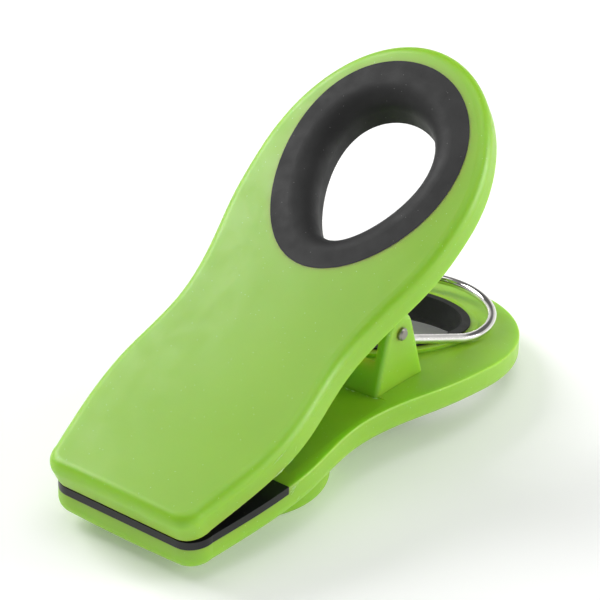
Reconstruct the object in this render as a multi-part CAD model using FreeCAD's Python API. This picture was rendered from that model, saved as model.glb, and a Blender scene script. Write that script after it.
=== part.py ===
import FreeCAD, Part
import math
import os

# Spring-loaded bag clip: two arched arms, black finger grips and jaw pads,
# a pivot pin, one torsion spring wire and a disc magnet under the lower arm.
# Millimetres. Each arm is drawn in its own arm frame: x runs from the jaw lip
# to the handle end, y across the clip, z towards the other arm.

# ---- arm side profile -------------------------------------------------------
ARM_LENGTH = 105.2
ARM_THICK = 6.1            # at the middle; the crown makes the edges thinner
JAW_FLAT = 17.0            # straight plate behind the lip
JAW_RISE = 8.5             # degrees, jaw plate above the chord
HANDLE_FALL = 10.0         # degrees, handle end below the chord
ARCH_RADIUS = 212.0
OPENING_HALF = 14.0        # degrees, chord to the plane between the arms

# ---- arm outline, half widths at stations along x ---------------------------
LIP_HALF = 17.0
LIP_CORNER = 4.5
CHEEK = (12.0, 18.6)
SHOULDER = (27.0, 20.2)
WAIST = (43.0, 18.7)
FLARE = (58.0, 20.9)
WIDEST = (76.5, 23.2)
CROWN_RADIUS = 300.0       # the outer face is slightly crowned across the clip
OUTER_ROUND = 2.2
INNER_ROUND = 0.35

# ---- inner face -------------------------------------------------------------
RECESS_DEPTH = 0.8         # shallow dish between the jaw pad and the lug
RECESS_HALF = 17.6
RECESS_START = 24.6
RECESS_END = 53.2
LIP_HEIGHT = 0.8           # collar round the finger hole, above the inner face

# ---- finger hole and grip, (front x, rear x, half width, egg taper) ---------
HOLE = (64.8, 93.1, 10.0, 0.27)
TUBE = (63.3, 94.7, 11.6, 0.25)
COLLAR = (61.5, 96.5, 13.0, 0.21)
FLANGE = (56.7, 100.8, 17.6, 0.13)
FLANGE_THICK = 2.4
FLANGE_PROUD = 0.05
GRIP_ROLL = 4.2            # roll of the grip into the hole
GRIP_RIM_PROUD = 0.4

# ---- jaw pads ---------------------------------------------------------------
PAD_LENGTH = 21.5
PAD_SEAT = 1.2
PAD_PROUD = 0.3
UPPER_PAD_INSET = 0.7
UPPER_PAD_SEAT = 1.0
LIP_GAP = 0.04             # between the closed pads at the lip

# ---- pivot ------------------------------------------------------------------
PIVOT_X = 59.6
PIN_RADIUS = 1.2
PIN_HALF_LENGTH = 16.2
PIN_CHAMFER = 0.3
PIN_RUNNING_GAP = 0.05
EAR_TIP_RADIUS = 3.8
LOWER_EAR_OUT = 15.45
LOWER_EAR_THICK = 2.0
LOWER_EAR_BASE = (52.8, 67.0)
FRONT_WALL_THICK = 1.7
FRONT_WALL_TOP = 17.2
NOTCH_HALF = 7.4
NOTCH_FLOOR = 12.6
EAR_CORNER = 1.0
UPPER_EAR_OUT = 6.3
UPPER_EAR_THICK = 2.0
UPPER_EAR_BASE = (55.2, 63.6)

# ---- spring -----------------------------------------------------------------
WIRE_RADIUS = 0.9
COIL_RADIUS = 2.6
COIL_PITCH = 2.0
COIL_OUTER_Y = 12.1
FULL_TURNS = 2
BIGHT_X = 86.0
BIGHT_RADIUS = 14.5
BIGHT_FALL = 4.3           # degrees, the bight lies flatter than the handle end under it
WIRE_REST_GAP = 0.05
PATH_STEP = 0.3
COIL_EASE = 4              # path steps averaged each side where the wire turns sharply
BIGHT_EASE = 12            # and where the leg runs into the bight
WIRE_SECTIONS = 13         # the wire is lofted in lengths of this many steps
LEG_KINK_X = 83.5          # where the lower leg reaches the arm
LEG_KINK_Y = 14.3
LEG_PAST_LUG = (67.5, 12.3)   # the lower leg stays inside the lug as far as this, then spreads
UPPER_LEG_END = (67.5, 10.4)

# ---- magnet boss ------------------------------------------------------------
BOSS_X = 33.5
BOSS_RADIUS = 15.8
BOSS_EDGE_ROUND = 1.2
MAGNET_RADIUS = 11.0
MAGNET_THICK = 3.0
MAGNET_SUNK = 0.2

WIDE = 40.0


def vec(x, y, z):
    return FreeCAD.Vector(x, y, z)


# ---- side profile helpers ---------------------------------------------------
JAW = math.radians(JAW_RISE)
FALL = math.radians(HANDLE_FALL)
ARCH_START = vec(JAW_FLAT * math.cos(JAW), 0, JAW_FLAT * math.sin(JAW))
ARCH_CENTRE = ARCH_START + vec(math.sin(JAW), 0, -math.cos(JAW)) * ARCH_RADIUS


def arch_point(slope, offset):
    """Point of the arch where the profile has this slope, offset inwards."""
    return ARCH_CENTRE + vec(-math.sin(slope), 0, math.cos(slope)) * (ARCH_RADIUS + offset)


def profile_points(offset):
    """Front end, arch start, arch middle, arch end and rear end of an offset profile."""
    front = arch_point(JAW, offset) - vec(math.cos(JAW), 0, math.sin(JAW)) * (JAW_FLAT + 8.0)
    rear = arch_point(-FALL, offset) + vec(math.cos(FALL), 0, -math.sin(FALL)) * 30.0
    middle = arch_point((JAW - FALL) / 2.0, offset)
    return front, arch_point(JAW, offset), middle, arch_point(-FALL, offset), rear


def slab(low, high):
    """Wide curved slab between two offsets of the inner face."""
    a0, a1, am, a2, a3 = profile_points(low)
    b0, b1, bm, b2, b3 = profile_points(high)
    edges = [
        Part.makeLine(a0, a1),
        Part.Arc(a1, am, a2).toShape(),
        Part.makeLine(a2, a3),
        Part.makeLine(a3, b3),
        Part.makeLine(b3, b2),
        Part.Arc(b2, bm, b1).toShape(),
        Part.makeLine(b1, b0),
        Part.makeLine(b0, a0),
    ]
    face = Part.Face(Part.Wire(edges))
    face.translate(vec(0, -WIDE, 0))
    return face.extrude(vec(0, 2 * WIDE, 0))


def crowned_slab(low, high, crown=CROWN_RADIUS):
    """Curved slab whose lower face is crowned across the clip."""
    normal = vec(-math.sin(JAW), 0, math.cos(JAW))
    along = vec(math.cos(JAW), 0, math.sin(JAW))
    end_along = vec(math.cos(FALL), 0, -math.sin(FALL))
    drop = crown - math.sqrt(crown ** 2 - WIDE ** 2)
    left = vec(0, -WIDE, 0)
    right = vec(0, WIDE, 0)
    edges = [
        Part.Arc(ARCH_START + normal * (low + drop) + left, ARCH_START + normal * low,
                 ARCH_START + normal * (low + drop) + right).toShape(),
        Part.makeLine(ARCH_START + normal * (low + drop) + right, ARCH_START + normal * high + right),
        Part.makeLine(ARCH_START + normal * high + right, ARCH_START + normal * high + left),
        Part.makeLine(ARCH_START + normal * high + left, ARCH_START + normal * (low + drop) + left),
    ]
    section = Part.Face(Part.Wire(edges))
    jaw = section.extrude(along * -(JAW_FLAT + 8.0))
    arch = section.revolve(ARCH_CENTRE, vec(0, 1, 0), JAW_RISE + HANDLE_FALL)
    last = section.copy()
    last.rotate(ARCH_CENTRE, vec(0, 1, 0), JAW_RISE + HANDLE_FALL)
    return arch.fuse([jaw, last.extrude(end_along * 30.0)])


def inner_z(x):
    """Height of the inner face at a station along x."""
    if x < ARCH_START.x:
        return x * math.tan(JAW)
    slope = math.asin((ARCH_CENTRE.x - x) / ARCH_RADIUS)
    if slope > -FALL:
        return arch_point(slope, 0).z
    end = arch_point(-FALL, 0)
    return end.z - (x - end.x) * math.tan(FALL)


# ---- plan helpers -----------------------------------------------------------
def arm_outline(inset=0.0):
    """Closed plan wire of an arm: square lip, shoulder, waist and round handle."""
    corner = LIP_CORNER
    pts = [(corner, LIP_HALF), CHEEK, SHOULDER, WAIST, FLARE, WIDEST]
    pts = [vec(x, y - inset, 0) for x, y in pts]
    side = Part.BSplineCurve()
    side.interpolate(Points=pts, InitialTangent=vec(1, 0.22, 0), FinalTangent=vec(1, 0, 0))
    upper_side = side.toShape()
    lower_side = upper_side.mirror(vec(0, 0, 0), vec(0, 1, 0))
    lip_y = LIP_HALF - inset
    flat_y = lip_y - corner + inset
    mid = corner * (1 - math.cos(math.radians(45)))
    lean = 0.25 * inset
    c_up = Part.Arc(vec(inset, flat_y, 0), vec(mid + inset * 0.6, lip_y - mid - lean * 0.2, 0),
                    vec(corner, lip_y, 0))
    c_low = Part.Arc(vec(inset, -flat_y, 0), vec(mid + inset * 0.6, -lip_y + mid + lean * 0.2, 0),
                     vec(corner, -lip_y, 0))
    lip = Part.makeLine(vec(inset, -flat_y, 0), vec(inset, flat_y, 0))
    wide_x = WIDEST[0]
    long_axis = ARM_LENGTH - wide_x - inset
    short_axis = WIDEST[1] - inset
    cap = Part.Ellipse(vec(wide_x, 0, 0), long_axis, short_axis)
    end_cap = Part.ArcOfEllipse(cap, -math.pi / 2, math.pi / 2).toShape()
    parts = [lip, c_up.toShape(), upper_side, end_cap, lower_side, c_low.toShape()]
    return Part.Wire(Part.__sortEdges__(parts))


def prism(wire, low=-30.0, high=40.0):
    face = Part.Face(wire)
    face.translate(vec(0, 0, low))
    return face.extrude(vec(0, 0, high - low))


def egg(front, rear, half, taper):
    """Egg-shaped closed wire, narrow end towards the jaw."""
    centre = (front + rear) / 2.0
    reach = (rear - front) / 2.0
    pts = []
    for i in range(24):
        t = 2 * math.pi * i / 24
        y = half * math.sin(t) * (1 + taper * math.cos(t))
        pts.append(vec(centre + reach * math.cos(t), y, 0))
    curve = Part.BSplineCurve()
    curve.interpolate(Points=pts, PeriodicFlag=True)
    return Part.Wire(curve.toShape())


def box(x0, x1, y0, y1, z0, z1):
    return Part.makeBox(x1 - x0, y1 - y0, z1 - z0, vec(x0, y0, z0))


def y_cylinder(radius, x, z, y0, y1):
    return Part.makeCylinder(radius, y1 - y0, vec(x, y0, z), vec(0, 1, 0))


def edges_on(shape, test):
    return [e for e in shape.Edges if test(e)]


# ---- the plane between the arms and the pivot -------------------------------
MID = math.radians(OPENING_HALF)
MID_POINT = vec(0, 0, PAD_PROUD + LIP_GAP / 2.0)
PIVOT_Z = MID_POINT.z + PIVOT_X * math.tan(MID)


def to_upper(shape):
    """Swing a shape drawn in the arm frame over to the upper arm."""
    out = shape.copy()
    out.rotate(MID_POINT, vec(math.cos(MID), 0, math.sin(MID)), 180.0)
    return out


# ---- arms -------------------------------------------------------------------
def arm_blank():
    """Curved plate with rounded edges, a dish, a collar round the hole and the grip's pocket."""
    outline = arm_outline()
    body = crowned_slab(-ARM_THICK, 0).common(prism(outline))
    outer = [e for e in body.Edges if is_outer_edge(e)]
    body = body.makeFillet(OUTER_ROUND, outer)
    inner = [e for e in body.Edges if is_inner_edge(e)]
    body = body.makeFillet(INNER_ROUND, inner)
    hollow = (RECESS_HALF ** 2 + RECESS_DEPTH ** 2) / (2 * RECESS_DEPTH)
    recess = crowned_slab(-RECESS_DEPTH, 6.0, hollow)
    body = body.cut(recess.common(box(RECESS_START, RECESS_END, -RECESS_HALF, RECESS_HALF, -30, 40)))
    collar = slab(-2.0, LIP_HEIGHT).common(prism(egg(*COLLAR)))
    body = body.fuse(collar)
    body = body.cut(prism(egg(*TUBE)))
    pocket = slab(-ARM_THICK - 3.0, -ARM_THICK + FLANGE_THICK - FLANGE_PROUD)
    return body.cut(pocket.common(prism(egg(*FLANGE))))


def is_outer_edge(edge):
    """True for edges lying on the outer face of the plate."""
    return all(inner_z(p.x) - p.z > 0.6 * ARM_THICK for p in edge.discretize(7))


def is_inner_edge(edge):
    """True for edges lying on the inner face behind the jaw pad."""
    return all(abs(p.z - inner_z(p.x)) < 0.05 for p in edge.discretize(7))


def ear_plate(y0, y1, base):
    """Tapered ear rising from the inner face and rounded about the pin."""
    x0, x1 = base
    low = inner_z(x0) - 2.0
    low_r = inner_z(x1) - 2.0
    front = tangent_point(vec(x0, 0, inner_z(x0)), -1)
    rear = tangent_point(vec(x1, 0, inner_z(x1)), 1)
    top = vec(PIVOT_X, 0, PIVOT_Z + EAR_TIP_RADIUS)
    edges = [
        Part.makeLine(vec(x0, 0, low), vec(x0, 0, inner_z(x0))),
        Part.makeLine(vec(x0, 0, inner_z(x0)), front),
        Part.Arc(front, top, rear).toShape(),
        Part.makeLine(rear, vec(x1, 0, inner_z(x1))),
        Part.makeLine(vec(x1, 0, inner_z(x1)), vec(x1, 0, low_r)),
        Part.makeLine(vec(x1, 0, low_r), vec(x0, 0, low)),
    ]
    face = Part.Face(Part.Wire(edges))
    face.translate(vec(0, y0, 0))
    return face.extrude(vec(0, y1 - y0, 0))


def tangent_point(outside, side):
    """Where a line from a point touches the ear tip circle; side -1 front, +1 rear."""
    dx = outside.x - PIVOT_X
    dz = outside.z - PIVOT_Z
    distance = math.hypot(dx, dz)
    bearing = math.atan2(dz, dx)
    spread = math.acos(EAR_TIP_RADIUS / distance)
    angle = bearing + side * spread
    return vec(PIVOT_X + EAR_TIP_RADIUS * math.cos(angle), 0, PIVOT_Z + EAR_TIP_RADIUS * math.sin(angle))


def lower_lug():
    """Two ears joined by a front wall that is notched for the upper bracket."""
    out = LOWER_EAR_OUT
    inn = out - LOWER_EAR_THICK
    x0 = LOWER_EAR_BASE[0]
    solid = ear_plate(-out, out, LOWER_EAR_BASE)
    solid = solid.cut(box(x0 + FRONT_WALL_THICK, 80, -inn, inn, -5, 40))
    corner = [e for e in solid.Edges if is_lug_corner(e, out)]
    solid = solid.makeFillet(EAR_CORNER, corner)
    solid = solid.cut(box(x0 - 3, x0 + FRONT_WALL_THICK + 2.5, -inn, inn, FRONT_WALL_TOP, 40))
    return solid.cut(box(x0 - 3, x0 + 6, -NOTCH_HALF, NOTCH_HALF, NOTCH_FLOOR, 40))


def is_lug_corner(edge, out):
    """Front outer corners of the lug, running from the base to the ear tip."""
    box_ = edge.BoundBox
    on_side = abs(abs(box_.Center.y) - out) < 0.01 and box_.YLength < 0.01
    return on_side and box_.ZLength > 5 and box_.XMax < PIVOT_X and box_.ZMin > inner_z(LOWER_EAR_BASE[0]) - 0.1


def upper_bracket():
    """Two narrower ears between the coils, joined by a short front wall."""
    out = UPPER_EAR_OUT
    inn = out - UPPER_EAR_THICK
    x0 = UPPER_EAR_BASE[0]
    solid = ear_plate(-out, out, UPPER_EAR_BASE)
    return solid.cut(box(x0 + FRONT_WALL_THICK, 80, -inn, inn, -5, 40)).cut(
        box(x0 - 3, 80, -inn, inn, PIVOT_Z - EAR_TIP_RADIUS - 0.8, 40))


def rest_height():
    """Lowest point of the handle end, which sets the level of the magnet boss."""
    plate = crowned_slab(-ARM_THICK, 0).common(prism(arm_outline()))
    plate = plate.makeFillet(OUTER_ROUND, [e for e in plate.Edges if is_outer_edge(e)])
    return plate.BoundBox.ZMin


def make_lower_arm(table_z):
    body = arm_blank()
    body = body.cut(pad_zone(0.0, PAD_SEAT, 2.0))
    body = body.fuse(lower_lug())
    top = inner_z(BOSS_X) - ARM_THICK + 2.0
    boss = Part.makeCylinder(BOSS_RADIUS, top - table_z, vec(BOSS_X, 0, table_z))
    rim = edges_on(boss, lambda e: abs(e.BoundBox.ZMax - table_z) < 0.01)
    boss = boss.makeFillet(BOSS_EDGE_ROUND, rim)
    body = body.fuse(boss)
    seat = Part.makeCylinder(MAGNET_RADIUS, MAGNET_THICK + MAGNET_SUNK, vec(BOSS_X, 0, table_z))
    body = body.cut(seat)
    return body.cut(y_cylinder(PIN_RADIUS, PIVOT_X, PIVOT_Z, -WIDE, WIDE)).removeSplitter()


def make_upper_arm():
    body = arm_blank()
    body = body.cut(pad_zone(UPPER_PAD_INSET, UPPER_PAD_SEAT, 2.0))
    body = body.fuse(upper_bracket())
    bore = PIN_RADIUS + PIN_RUNNING_GAP
    return body.cut(y_cylinder(bore, PIVOT_X, PIVOT_Z, -WIDE, WIDE)).removeSplitter()


def pad_zone(inset, seat, proud):
    """The jaw pad's place on the inner face, between two heights."""
    zone = slab(-seat, proud).common(prism(arm_outline(inset)))
    return zone.common(box(-5, PAD_LENGTH, -WIDE, WIDE, -30, 40))


def make_grip():
    """Finger grip: proud flange on the outer face rolling into the hole."""
    floor = -ARM_THICK + FLANGE_THICK - FLANGE_PROUD
    flange = crowned_slab(-ARM_THICK - FLANGE_PROUD, floor).common(prism(egg(*FLANGE)))
    tube = slab(floor - 1.0, LIP_HEIGHT + GRIP_RIM_PROUD).common(prism(egg(*TUBE)))
    body = flange.fuse(tube).cut(prism(egg(*HOLE))).removeSplitter()
    mouth = [e for e in body.Edges if is_grip_mouth(e)]
    return body.makeFillet(GRIP_ROLL, mouth)


def is_grip_mouth(edge):
    """Rim of the finger hole on the proud outer face of the grip."""
    box_ = edge.BoundBox
    inside = box_.YMax < HOLE[2] * 1.15 and box_.YMin > -HOLE[2] * 1.15
    return inside and all(inner_z(p.x) - p.z > ARM_THICK - 0.3 for p in edge.discretize(5))


# ---- small parts ------------------------------------------------------------
def make_pin():
    pin = y_cylinder(PIN_RADIUS, PIVOT_X, PIVOT_Z, -PIN_HALF_LENGTH, PIN_HALF_LENGTH)
    ends = edges_on(pin, lambda e: e.BoundBox.YLength < 0.01)
    return pin.makeChamfer(PIN_CHAMFER, ends)


def make_magnet(table_z):
    disc = Part.makeCylinder(MAGNET_RADIUS, MAGNET_THICK, vec(BOSS_X, 0, table_z + MAGNET_SUNK))
    ends = edges_on(disc, lambda e: e.BoundBox.ZLength < 0.01)
    return disc.makeChamfer(0.3, ends)


# ---- spring wire ------------------------------------------------------------
def coil_point(angle, y):
    """Point of the coil centre line; angle counted from straight down towards the jaw."""
    x = PIVOT_X - COIL_RADIUS * math.sin(angle)
    return vec(x, y, PIVOT_Z - COIL_RADIUS * math.cos(angle))


def leg_leave_angle(end, direction):
    """Coil angle at which a straight leg to this end point leaves the coil."""
    dx = end.x - PIVOT_X
    dz = end.z - PIVOT_Z
    distance = math.hypot(dx, dz)
    bearing = math.atan2(dz, dx)
    spread = math.acos(COIL_RADIUS / distance)
    polar = bearing - direction * spread
    return math.atan2(-math.cos(polar), -math.sin(polar))


def straight(a, b):
    """Closely spaced points from a up to, but not including, b."""
    count = max(2, int((b - a).Length / PATH_STEP))
    return [a + (b - a) * (i / count) for i in range(count)]


def eased(points):
    """Round the corners of a closely spaced path and keep every third point."""
    out = [points[0]]
    for i in range(3, len(points) - 1, 3):
        reach = BIGHT_EASE if points[i].x > LEG_PAST_LUG[0] + 5.0 else COIL_EASE
        span = min(reach, i, len(points) - 1 - i)
        total = vec(0, 0, 0)
        for p in points[i - span:i + span + 1]:
            total = total + p
        out.append(total * (1.0 / (2 * span + 1)))
    return out + [points[-1]]


def spring_path():
    """Centre line of the near half: upper leg end, coil, lower leg, half of the bight."""
    lift = WIRE_RADIUS + WIRE_REST_GAP
    ex, ey = UPPER_LEG_END
    upper_end = to_upper(Part.Vertex(vec(ex, ey, inner_z(ex) + lift))).Point
    kink = vec(LEG_KINK_X, -LEG_KINK_Y, inner_z(LEG_KINK_X) + lift)
    low_angle = leg_leave_angle(kink, 1)
    wrap = 2 * math.pi * FULL_TURNS + leg_leave_angle(upper_end, -1) - low_angle
    inner_y = COIL_OUTER_Y - COIL_PITCH * wrap / (2 * math.pi)
    steps = int(wrap * COIL_RADIUS / PATH_STEP)
    coil = []
    for i in range(steps + 1):
        f = i / steps
        y = inner_y + (COIL_OUTER_Y - inner_y) * f
        coil.append(coil_point(low_angle + wrap * (1 - f), -y))
    tilt = math.radians(BIGHT_FALL)
    centre = vec(BIGHT_X, 0, kink.z - (BIGHT_X - LEG_KINK_X) * math.tan(tilt))
    steps = int(math.pi / 2 * BIGHT_RADIUS / PATH_STEP)
    bight = []
    for i in range(steps + 1):
        t = math.pi / 2 * i / steps
        reach = BIGHT_RADIUS * math.sin(t)
        bight.append(centre + vec(reach * math.cos(tilt), -BIGHT_RADIUS * math.cos(t), -reach * math.sin(tilt)))
    past_x, past_y = LEG_PAST_LUG
    share = (past_x - coil[-1].x) / (kink.x - coil[-1].x)
    past = vec(past_x, -past_y, coil[-1].z + (kink.z - coil[-1].z) * share)
    return eased(straight(upper_end, coil[0]) + coil[:-1] + straight(coil[-1], past)
                 + straight(past, kink) + straight(kink, bight[0]) + bight)


def make_spring():
    """One wire: free legs under the upper arm, two coils, and a bight on the lower arm."""
    near = spring_path()
    points = near + [vec(p.x, -p.y, p.z) for p in reversed(near[:-1])]
    last = len(points) - 1
    side = vec(0, 1, 0)
    sections = []
    for i, point in enumerate(points):
        along = points[min(i + 1, last)] - points[max(i - 1, 0)]
        along.normalize()
        side = side - along * side.dot(along)
        side.normalize()
        circle = Part.Circle(point, along, WIRE_RADIUS)
        circle.XAxis = side
        sections.append(Part.Wire(circle.toShape()))
    lengths = []
    for first in range(0, last, WIRE_SECTIONS):
        lengths.append(Part.makeLoft(sections[first:first + WIRE_SECTIONS + 1], True, False))
    return lengths[0].fuse(lengths[1:]).Solids[0]


# ---- build, place and export ------------------------------------------------
table = rest_height()
nodes = {
    "lower_arm": make_lower_arm(table),
    "lower_grip": make_grip(),
    "lower_jaw_pad": pad_zone(0.0, PAD_SEAT, PAD_PROUD),
    "magnet": make_magnet(table),
    "pivot_pin": make_pin(),
    "torsion_spring": make_spring(),
    "upper_arm": to_upper(make_upper_arm()),
    "upper_grip": to_upper(make_grip()),
    "upper_jaw_pad": to_upper(pad_zone(UPPER_PAD_INSET, UPPER_PAD_SEAT, PAD_PROUD)),
}

bounds = FreeCAD.BoundBox()
for shape in nodes.values():
    bounds.add(shape.optimalBoundingBox(False))
shift = vec(-(bounds.XMin + bounds.XMax) / 2.0, 0, -bounds.ZMin)

os.makedirs("parts", exist_ok=True)
for name, shape in nodes.items():
    shape.translate(shift)
    shape.exportStep("parts/" + name + ".step")
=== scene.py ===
import math
import random

import bmesh
import bpy
from mathutils import Matrix, Vector
from mathutils.bvhtree import BVHTree


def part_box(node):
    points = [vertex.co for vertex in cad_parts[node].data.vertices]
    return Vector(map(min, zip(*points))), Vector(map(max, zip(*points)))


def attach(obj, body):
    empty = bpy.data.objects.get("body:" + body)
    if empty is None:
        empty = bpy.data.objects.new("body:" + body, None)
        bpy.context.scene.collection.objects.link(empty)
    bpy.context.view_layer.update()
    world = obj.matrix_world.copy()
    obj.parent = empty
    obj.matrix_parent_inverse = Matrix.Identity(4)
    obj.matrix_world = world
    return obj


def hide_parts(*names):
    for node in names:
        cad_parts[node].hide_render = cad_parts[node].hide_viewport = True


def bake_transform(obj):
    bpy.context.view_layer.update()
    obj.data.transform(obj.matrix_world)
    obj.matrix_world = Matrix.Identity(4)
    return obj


# Sprung bag clip: two green arched arms, black grips and jaw pads, a steel pin
# and one plated spring wire. Metres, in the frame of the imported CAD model.

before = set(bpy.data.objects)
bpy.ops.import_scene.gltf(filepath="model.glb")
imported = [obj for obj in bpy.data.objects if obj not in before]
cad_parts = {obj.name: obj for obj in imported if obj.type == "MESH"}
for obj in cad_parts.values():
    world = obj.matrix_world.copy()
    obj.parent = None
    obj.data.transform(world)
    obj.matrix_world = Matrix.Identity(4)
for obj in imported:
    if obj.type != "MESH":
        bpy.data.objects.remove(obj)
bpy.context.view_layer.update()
MM = 0.001


# ---- camera -----------------------------------------------------------------
# Axes and place of the camera that took the photo, as fitted to the object.
FOCAL_LENGTH = 192.45          # mm, as is the sensor
SENSOR_WIDTH = 36.0
CAMERA_PLACE = (-0.39678, -0.30429, 0.32006)
CAMERA_RIGHT = (0.6189, -0.7853, 0.0183)
CAMERA_UP = (0.3863, 0.3245, 0.8634)
CAMERA_BACK = (-0.6839, -0.5273, 0.5042)


def make_camera():
    data = bpy.data.cameras.new("camera")
    data.lens = FOCAL_LENGTH
    data.sensor_width = SENSOR_WIDTH
    data.clip_start = 0.01
    data.clip_end = 20.0
    camera = bpy.data.objects.new("camera", data)
    bpy.context.scene.collection.objects.link(camera)
    turn = Matrix((CAMERA_RIGHT, CAMERA_UP, CAMERA_BACK)).transposed().to_4x4()
    camera.matrix_world = Matrix.Translation(CAMERA_PLACE) @ turn
    bpy.context.scene.camera = camera


# ---- floor, backdrop and light ----------------------------------------------
FLOOR_SIZE = 12.0
FLOOR_WHITE = (0.95, 0.95, 0.95, 1)
FLOOR_GLOW = 0.12              # lifts the paper to the photo's pure white
# Height on the world sphere, 0 at its foot and 1 overhead, and its brightness: a pale
# table and horizon below a dim room.
ROOM_BANDS = ((0.0, 0.85), (0.22, 0.85), (0.40, 0.14), (0.72, 0.14), (1.0, 0.35))
LIGHT_TARGET = (0, 0, 0.02)
# Name, place, side of the square (m) and power (W).
SOFT_BOXES = (
    ("soft_box_left", (-0.10, 0.75, 0.62), 0.55, 6.3),
    ("soft_box_top", (0.10, -0.10, 1.10), 0.9, 3.9),
    ("soft_box_right", (0.60, -0.80, 0.36), 0.6, 5.8),
)


def make_floor():
    bpy.ops.mesh.primitive_plane_add(size=FLOOR_SIZE, location=(0, 0, 0))
    floor = bpy.context.object
    floor.name = "floor"
    paper = Shading("floor_paper", Roughness=0.9, Specular_IOR_Level=0.1, Base_Color=FLOOR_WHITE,
                    Emission_Color=(1, 1, 1, 1), Emission_Strength=FLOOR_GLOW)
    floor.data.materials.append(paper.material)


def make_soft_box(name, place, size, power):
    data = bpy.data.lights.new(name, "AREA")
    data.shape = "SQUARE"
    data.size = size
    data.energy = power
    light = bpy.data.objects.new(name, data)
    bpy.context.scene.collection.objects.link(light)
    light.location = place
    aim = Vector(LIGHT_TARGET) - Vector(place)
    light.rotation_euler = aim.to_track_quat("-Z", "Y").to_euler()


def make_room():
    """The world behind and around the object, graded by height alone."""
    world = bpy.data.worlds.new("studio")
    bpy.context.scene.world = world
    world.use_nodes = True
    nodes, links = world.node_tree.nodes, world.node_tree.links
    place = nodes.new("ShaderNodeTexCoord")
    split = nodes.new("ShaderNodeSeparateXYZ")
    height = nodes.new("ShaderNodeValToRGB")
    stops = height.color_ramp.elements
    while len(stops) < len(ROOM_BANDS):
        stops.new(0.5)
    for stop, (level, value) in zip(stops, ROOM_BANDS):
        stop.position = level
        stop.color = (value, value, value, 1)
    links.new(place.outputs["Generated"], split.inputs[0])
    links.new(split.outputs["Z"], height.inputs["Fac"])
    links.new(height.outputs["Color"], nodes["Background"].inputs["Color"])


def make_light():
    make_room()
    for box in SOFT_BOXES:
        make_soft_box(*box)
    bpy.context.scene.view_settings.view_transform = "Standard"


# ---- materials --------------------------------------------------------------
NOISE_LOW, NOISE_HIGH = 0.3, 0.7      # where nearly all of a noise texture's values lie
SPECK_CORE = 0.6                      # share of a speck's radius at its full strength


class Shading:
    """A Principled material with helpers for its procedural detail."""

    def __init__(self, name, **values):
        self.material = bpy.data.materials.new(name)
        self.material.use_nodes = True
        self.nodes = self.material.node_tree.nodes
        self.links = self.material.node_tree.links
        self.shader = self.nodes["Principled BSDF"]
        for key, value in values.items():
            self.shader.inputs[key.replace("_", " ")].default_value = value
        self.place = self.nodes.new("ShaderNodeTexCoord").outputs["Object"]
        self.normal = None

    def noise(self, size, detail, rough=0.5):
        """Noise whose features are about size metres across."""
        node = self.nodes.new("ShaderNodeTexNoise")
        node.inputs["Scale"].default_value = 1.0 / size
        node.inputs["Detail"].default_value = detail
        node.inputs["Roughness"].default_value = rough
        self.links.new(self.place, node.inputs["Vector"])
        return node.outputs["Fac"]

    def ramp(self, source, low, high, start, end):
        """Maps source from low..high to start..end."""
        node = self.nodes.new("ShaderNodeMapRange")
        node.inputs["From Min"].default_value = low
        node.inputs["From Max"].default_value = high
        node.inputs["To Min"].default_value = start
        node.inputs["To Max"].default_value = end
        self.links.new(source, node.inputs["Value"])
        return node.outputs["Result"]

    def clouds(self, size, detail, start=0.0, end=1.0):
        """Soft patches about size metres across, from start to end."""
        return self.ramp(self.noise(size, detail), NOISE_LOW, NOISE_HIGH, start, end)

    def maths(self, operation, first, second):
        """One sum on a socket and either a number or another socket."""
        node = self.nodes.new("ShaderNodeMath")
        node.operation = operation
        self.links.new(first, node.inputs[0])
        if isinstance(second, float):
            node.inputs[1].default_value = second
        else:
            self.links.new(second, node.inputs[1])
        return node.outputs[0]

    def specks(self, spacing, radius, share):
        """1 inside a share of the round specks spaced about spacing metres apart, 0 outside."""
        node = self.nodes.new("ShaderNodeTexVoronoi")
        node.inputs["Scale"].default_value = 1.0 / spacing
        self.links.new(self.place, node.inputs["Vector"])
        edge = radius / spacing
        near = self.ramp(node.outputs["Distance"], edge * SPECK_CORE, edge, 1.0, 0.0)
        split = self.nodes.new("ShaderNodeSeparateColor")
        self.links.new(node.outputs["Color"], split.inputs["Color"])
        picked = self.maths("LESS_THAN", split.outputs["Red"], share)
        return self.maths("MULTIPLY", near, picked)

    def blend_colour(self, share, first, second):
        """The first colour where share is 0, the second where it is 1."""
        node = self.nodes.new("ShaderNodeMix")
        node.data_type = "RGBA"
        for socket, value in ((6, first), (7, second)):
            if isinstance(value, tuple):
                node.inputs[socket].default_value = (*value, 1)
            else:
                self.links.new(value, node.inputs[socket])
        self.links.new(share, node.inputs[0])
        return node.outputs[2]

    def bump(self, height, depth):
        """Adds surface relief; depth is in metres."""
        node = self.nodes.new("ShaderNodeBump")
        node.inputs["Distance"].default_value = depth
        node.inputs["Strength"].default_value = 1.0
        self.links.new(height, node.inputs["Height"])
        if self.normal:
            self.links.new(self.normal, node.inputs["Normal"])
        self.normal = node.outputs["Normal"]
        self.links.new(self.normal, self.shader.inputs["Normal"])

    def feed(self, socket, source):
        self.links.new(source, self.shader.inputs[socket])


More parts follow.
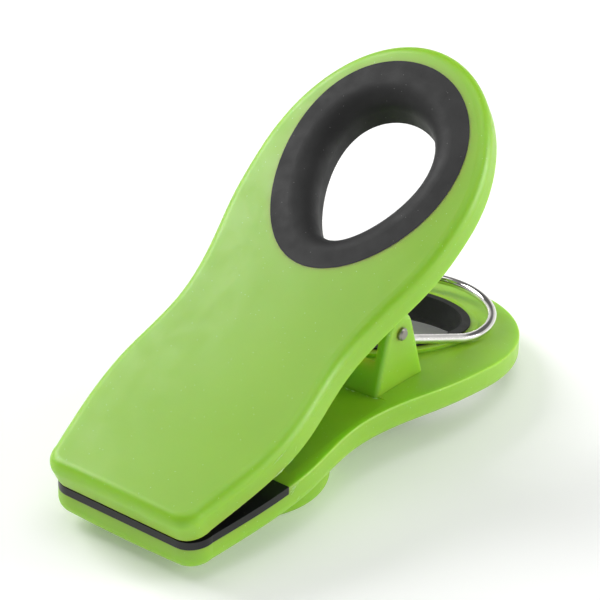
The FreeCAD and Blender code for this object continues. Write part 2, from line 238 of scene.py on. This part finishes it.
def green_plastic():
    look = Shading("green_plastic", Roughness=0.42, Specular_IOR_Level=0.75, Subsurface_Weight=1.0,
                   Subsurface_Radius=(0.65, 1.0, 0.10), Subsurface_Scale=0.004)
    tone = look.blend_colour(look.clouds(0.025, 3.0), (0.268, 0.530, 0.008), (0.290, 0.558, 0.014))
    dust = look.specks(spacing=0.0009, radius=0.00009, share=0.4)
    look.feed("Base Color", look.blend_colour(dust, tone, (0.55, 0.76, 0.34)))
    look.feed("Roughness", look.clouds(0.004, 4.0, 0.36, 0.48))
    look.bump(look.noise(0.0016, 3.0, 0.6), 0.00002)
    look.bump(look.noise(0.012, 1.0), 0.00007)
    return look.material


def black_rubber(name, tone, rough, grain, depth, shine=0.5):
    look = Shading(name, Roughness=rough, Specular_IOR_Level=shine)
    brighter = tuple(c * 1.25 for c in tone)
    plain = look.blend_colour(look.clouds(0.010, 3.0), tone, brighter)
    dust = look.specks(spacing=0.0010, radius=0.00009, share=0.4)
    look.feed("Base Color", look.blend_colour(dust, plain, (0.13, 0.13, 0.125)))
    look.feed("Roughness", look.clouds(0.003, 4.0, rough - 0.06, rough + 0.06))
    look.bump(look.noise(grain, 3.0, 0.6), depth)
    return look.material


def steel(name, tone, rough, grain, depth):
    look = Shading(name, Metallic=1.0, Roughness=rough)
    darker = tuple(c * 0.9 for c in tone)
    look.feed("Base Color", look.blend_colour(look.clouds(0.002, 4.0), darker, tone))
    look.feed("Roughness", look.clouds(0.0012, 4.0, rough * 0.8, rough * 1.2))
    look.bump(look.noise(grain, 3.0, 0.6), depth)
    return look.material


def scuffed_plastic():
    """Plastic whitened where it has been torn or rubbed."""
    look = Shading("scuffed_plastic", Roughness=0.5, Subsurface_Weight=0.3, Subsurface_Scale=0.001)
    look.feed("Base Color",
              look.blend_colour(look.clouds(0.0006, 2.0), (0.46, 0.74, 0.12), (0.70, 0.86, 0.46)))
    return look.material


def dress(node, material):
    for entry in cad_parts[node].material_slots:
        entry.material = material


# ---- shared places and meshes -----------------------------------------------
def pin_centre():
    low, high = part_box("pivot_pin")
    return (low + high) / 2


def object_from(bm, name, material):
    """Turns a bmesh into a linked object, smooth but for its faces of many corners."""
    mesh = bpy.data.meshes.new(name)
    bm.to_mesh(mesh)
    bm.free()
    for face in mesh.polygons:
        face.use_smooth = len(face.vertices) <= 4
    mesh.materials.append(material)
    piece = bpy.data.objects.new(name, mesh)
    bpy.context.scene.collection.objects.link(piece)
    return piece


# ---- spring wire ------------------------------------------------------------
# Drawn in the lower arm's frame in millimetres, x from the jaw lip and z towards
# the upper arm, then moved to where the CAD pin is. The values are part.py's.
PIVOT_X, PIVOT_Z = 59.6, 15.1799
WIRE_RADIUS = 0.9
REST_GAP = 0.05                # between the wire and the arm that it lies on
COIL_RADIUS = 2.6
COIL_PITCH = 2.0
COIL_OUTER_Y = 12.1
COIL_TURNS = 2                 # whole turns, before the angle between the two legs
UPPER_LEG_END = (67.5, 10.4)   # x and y where the free leg presses on the upper arm
PAST_LUG = (67.5, 12.3)        # x and y of the long leg as it leaves the lug
LEG_KINK = (83.5, 14.3)        # x and y where the long leg meets the handle
BIGHT_X, BIGHT_RADIUS, BIGHT_FALL = 86.0, 14.5, math.radians(4.3)
JAW, ARCH_RADIUS, JAW_FLAT = math.radians(8.5), 212.0, 17.0
MID = math.radians(14.0)       # slope of the plane that mirrors the two arms
MID_HEIGHT = 0.32
ROUTE_STEP = 0.1               # spacing of the raw centre line
EASE_EVERY = 3                 # one eased point for this many raw ones
EASE_NARROW, EASE_WIDE = 12, 36    # raw points averaged on each side, at the coils and the bight
EASE_WIDE_FROM = PAST_LUG[0] + 5.0
WIRE_SIDES = 24
END_CHAMFER = 0.25


def arm_to_row():
    pin = pin_centre()
    return Vector((pin.x - PIVOT_X * MM, 0, pin.z - PIVOT_Z * MM))


def inner_z(x):
    """Height of the arm's inner face over its arch."""
    centre_x = JAW_FLAT * math.cos(JAW) + ARCH_RADIUS * math.sin(JAW)
    centre_z = JAW_FLAT * math.sin(JAW) - ARCH_RADIUS * math.cos(JAW)
    return centre_z + math.sqrt(ARCH_RADIUS ** 2 - (x - centre_x) ** 2)


def on_face(place, side=1):
    """Centre of the wire where it lies on the arm's inner face at a plan place."""
    x, y = place
    lift = WIRE_RADIUS + REST_GAP
    return Vector((x, y * side, inner_z(x) + lift))


def swing_up(point):
    """A point of the lower arm's frame carried to the same place on the upper arm."""
    axis = Vector((math.cos(MID), 0, math.sin(MID)))
    arm = point - Vector((0, 0, MID_HEIGHT))
    return Vector((0, 0, MID_HEIGHT)) + 2 * axis * arm.dot(axis) - arm


def leave_angle(end, direction):
    """Angle on the coil where a straight leg to end leaves it."""
    dx, dz = end.x - PIVOT_X, end.z - PIVOT_Z
    polar = math.atan2(dz, dx) - direction * math.acos(COIL_RADIUS / math.hypot(dx, dz))
    return math.atan2(-math.cos(polar), -math.sin(polar))


def run(first, last):
    """Points from first towards last, without last."""
    count = max(2, int((last - first).length / ROUTE_STEP))
    return [first.lerp(last, i / count) for i in range(count)]


def coil_turns(upper_end, kink):
    """The near coil, from the leg on the upper arm to the leg on the handle."""
    low = leave_angle(kink, 1)
    wrap = 2 * math.pi * COIL_TURNS + leave_angle(upper_end, -1) - low
    inner_y = COIL_OUTER_Y - COIL_PITCH * wrap / (2 * math.pi)
    steps = int(wrap * COIL_RADIUS / ROUTE_STEP)
    coil = []
    for i in range(steps + 1):
        share = i / steps
        angle = low + wrap * (1 - share)
        coil.append(Vector((PIVOT_X - COIL_RADIUS * math.sin(angle),
                            -inner_y - (COIL_OUTER_Y - inner_y) * share,
                            PIVOT_Z - COIL_RADIUS * math.cos(angle))))
    return coil


def half_bight(kink):
    """The near quarter of the round end, which falls with the handle."""
    centre = Vector((BIGHT_X, 0, kink.z - (BIGHT_X - kink.x) * math.tan(BIGHT_FALL)))
    steps = int(math.pi / 2 * BIGHT_RADIUS / ROUTE_STEP)
    bight = []
    for i in range(steps + 1):
        turn = math.pi / 2 * i / steps
        reach = BIGHT_RADIUS * math.sin(turn)
        bight.append(centre + Vector((reach * math.cos(BIGHT_FALL),
                                      -BIGHT_RADIUS * math.cos(turn),
                                      -reach * math.sin(BIGHT_FALL))))
    return bight


def eased(points):
    """Every third point, averaged with its neighbours so that corners become bends."""
    last = len(points) - 1
    route = [points[0]]
    for i in range(EASE_EVERY, last, EASE_EVERY):
        reach = EASE_WIDE if points[i].x > EASE_WIDE_FROM else EASE_NARROW
        span = min(reach, i, last - i)
        group = points[i - span:i + span + 1]
        route.append(sum(group, Vector()) / len(group))
    return route + [points[last]]


def wire_route():
    """Centre line of the whole spring, its points about 0.3 mm apart."""
    upper_end = swing_up(on_face(UPPER_LEG_END))
    kink = on_face(LEG_KINK, side=-1)
    coil = coil_turns(upper_end, kink)
    x, y = PAST_LUG
    share = (x - coil[-1].x) / (kink.x - coil[-1].x)
    past = Vector((x, -y, coil[-1].z + (kink.z - coil[-1].z) * share))
    bight = half_bight(kink)
    near = (run(upper_end, coil[0]) + coil[:-1] + run(coil[-1], past)
            + run(past, kink) + run(kink, bight[0]) + bight)
    return eased(near + [Vector((p.x, -p.y, p.z)) for p in reversed(near[:-1])])


def wire_stations(centre):
    """Places, directions and radii along the wire, whose two ends are chamfered."""
    last = len(centre) - 1
    along = [(centre[min(i + 1, last)] - centre[max(i - 1, 0)]).normalized()
             for i in range(last + 1)]
    radius, chamfer = WIRE_RADIUS * MM, END_CHAMFER * MM
    stations = [(point, way, radius) for point, way in zip(centre, along)]
    stations[0] = (centre[0] + along[0] * chamfer, along[0], radius)
    stations[last] = (centre[last] - along[last] * chamfer, along[last], radius)
    tips = [(centre[i], along[i], radius - chamfer) for i in (0, last)]
    return [tips[0], *stations, tips[1]]


def make_spring(material):
    shift = arm_to_row()
    bm = bmesh.new()
    rings = []
    side = Vector((0, 1, 0))
    for point, along, radius in wire_stations([shift + p * MM for p in wire_route()]):
        side = (side - along * side.dot(along)).normalized()
        other = along.cross(side)
        ring = []
        for k in range(WIRE_SIDES):
            turn = 2 * math.pi * k / WIRE_SIDES
            out = side * math.cos(turn) + other * math.sin(turn)
            ring.append(bm.verts.new(point + out * radius))
        rings.append(ring)
    for first, second in zip(rings, rings[1:]):
        for k in range(WIRE_SIDES):
            n = (k + 1) % WIRE_SIDES
            bm.faces.new((first[k], first[n], second[n], second[k]))
    for cap in (rings[0][::-1], rings[-1]):
        bm.faces.new(cap)
    bmesh.ops.recalc_face_normals(bm, faces=bm.faces)
    spring = object_from(bm, "spring", material)
    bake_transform(spring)
    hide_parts("torsion_spring")


# ---- moulding flash and scuffs ----------------------------------------------
# Each stroke: start and end in the lower arm's frame (mm), the direction in which it
# is laid on the surface, then its half width and height.
INWARD, DOWNWARD = Vector((0, 1, 0)), Vector((0, 0, -1))
BESIDE, ABOVE = -30, 20.0      # y and z clear of the arms, where the rays start
UPPER_STROKES = (
    ((17.1, BESIDE, 10.1), (20.3, BESIDE, 11.7), INWARD, 0.08, 0.03),
    ((22.8, BESIDE, 10.2), (23.1, BESIDE, 11.2), INWARD, 0.07, 0.03),
    ((17.6, BESIDE, 7.2), (20.2, BESIDE, 8.15), INWARD, 0.17, 0.12),
    ((20.9, BESIDE, 8.4), (22.4, BESIDE, 8.95), INWARD, 0.12, 0.08),
)
LOWER_STROKES = (
    ((21.7, BESIDE, 2.6), (24.0, BESIDE, 3.0), INWARD, 0.10, 0.03),
    ((21.7, BESIDE, 2.1), (23.7, BESIDE, 2.9), INWARD, 0.09, 0.03),
    ((22.1, BESIDE, 1.5), (22.9, BESIDE, 2.2), INWARD, 0.06, 0.03),
    ((23.8, BESIDE, -0.4), (24.3, BESIDE, 0.3), INWARD, 0.08, 0.03),
    ((52.6, -6.2, ABOVE), (52.6, -7.7, ABOVE), DOWNWARD, 0.15, 0.16),
    ((52.6, -8.4, ABOVE), (52.5, -9.3, ABOVE), DOWNWARD, 0.17, 0.18),
    ((52.5, -10.0, ABOVE), (52.6, -10.6, ABOVE), DOWNWARD, 0.17, 0.16),
    ((52.6, -13.2, ABOVE), (52.6, -13.5, ABOVE), DOWNWARD, 0.10, 0.10),
    ((52.5, -14.6, ABOVE), (52.8, -15.6, ABOVE), DOWNWARD, 0.15, 0.14),
)
BIT_SPACING = 1.4              # of the half width
BIT_LENGTH = 1.7               # of the half width
BIT_STRAY = 0.4                # of the half width, to either side of the stroke
BIT_SIZES = (0.6, 1.3)
STROKE_TAPER = 0.4             # share of its full size that a bit has at a stroke's end


def surface_of(node):
    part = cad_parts[node]
    places = [part.matrix_world @ v.co for v in part.data.vertices]
    return BVHTree.FromPolygons(places, [list(p.vertices) for p in part.data.polygons])


def ragged_bits(name, node, body, strokes, material):
    """Small raised bits of plastic strung along strokes on a part's surface."""
    rng = random.Random(5)
    surface = surface_of(node)
    shift = arm_to_row()
    bm = bmesh.new()
    for start, end, ray, width, height in strokes:
        start, end = Vector(start), Vector(end)
        count = max(2, int((end - start).length / (BIT_SPACING * width)))
        for i in range(count + 1):
            share = i / count
            place, normal, _, _ = surface.ray_cast(shift + start.lerp(end, share) * MM, ray)
            if place is None:
                continue
            side = normal.cross(end - start).normalized()
            along = side.cross(normal)
            taper = STROKE_TAPER + (1 - STROKE_TAPER) * math.sin(math.pi * share)
            size = rng.uniform(*BIT_SIZES) * taper * MM
            axes = Matrix((along * width * BIT_LENGTH * size,
                           side * width * size, normal * height * size))
            place += side * rng.uniform(-BIT_STRAY, BIT_STRAY) * width * MM
            stand = Matrix.Translation(place) @ axes.transposed().to_4x4()
            bmesh.ops.create_icosphere(bm, subdivisions=1, radius=1.0, matrix=stand)
    bits = object_from(bm, name, material)
    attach(bits, body)


# ---- run --------------------------------------------------------------------
make_camera()
make_floor()
make_light()
green = green_plastic()
grip = black_rubber("grip_rubber", (0.0095, 0.0095, 0.0096), rough=0.62,
                    grain=0.0006, depth=0.00002, shine=0.45)
pad = black_rubber("pad_rubber", (0.006, 0.006, 0.007), rough=0.34,
                   grain=0.0008, depth=0.00001, shine=0.4)
pin = steel("pin_steel", (0.34, 0.32, 0.29), rough=0.36, grain=0.0008, depth=0.00001)
wire = steel("spring_plating", (0.82, 0.80, 0.77), rough=0.07, grain=0.0010, depth=0.000002)
ferrite = black_rubber("magnet_ferrite", (0.03, 0.03, 0.032), rough=0.55,
                       grain=0.0003, depth=0.00002)
scuffed = scuffed_plastic()
for side in ("lower", "upper"):
    dress(side + "_arm", green)
    dress(side + "_grip", grip)
    dress(side + "_jaw_pad", pad)
dress("pivot_pin", pin)
dress("magnet", ferrite)
make_spring(wire)
ragged_bits("upper_scuffs", "upper_arm", "upper", UPPER_STROKES, scuffed)
ragged_bits("lower_scuffs", "lower_arm", "lower", LOWER_STROKES, scuffed)
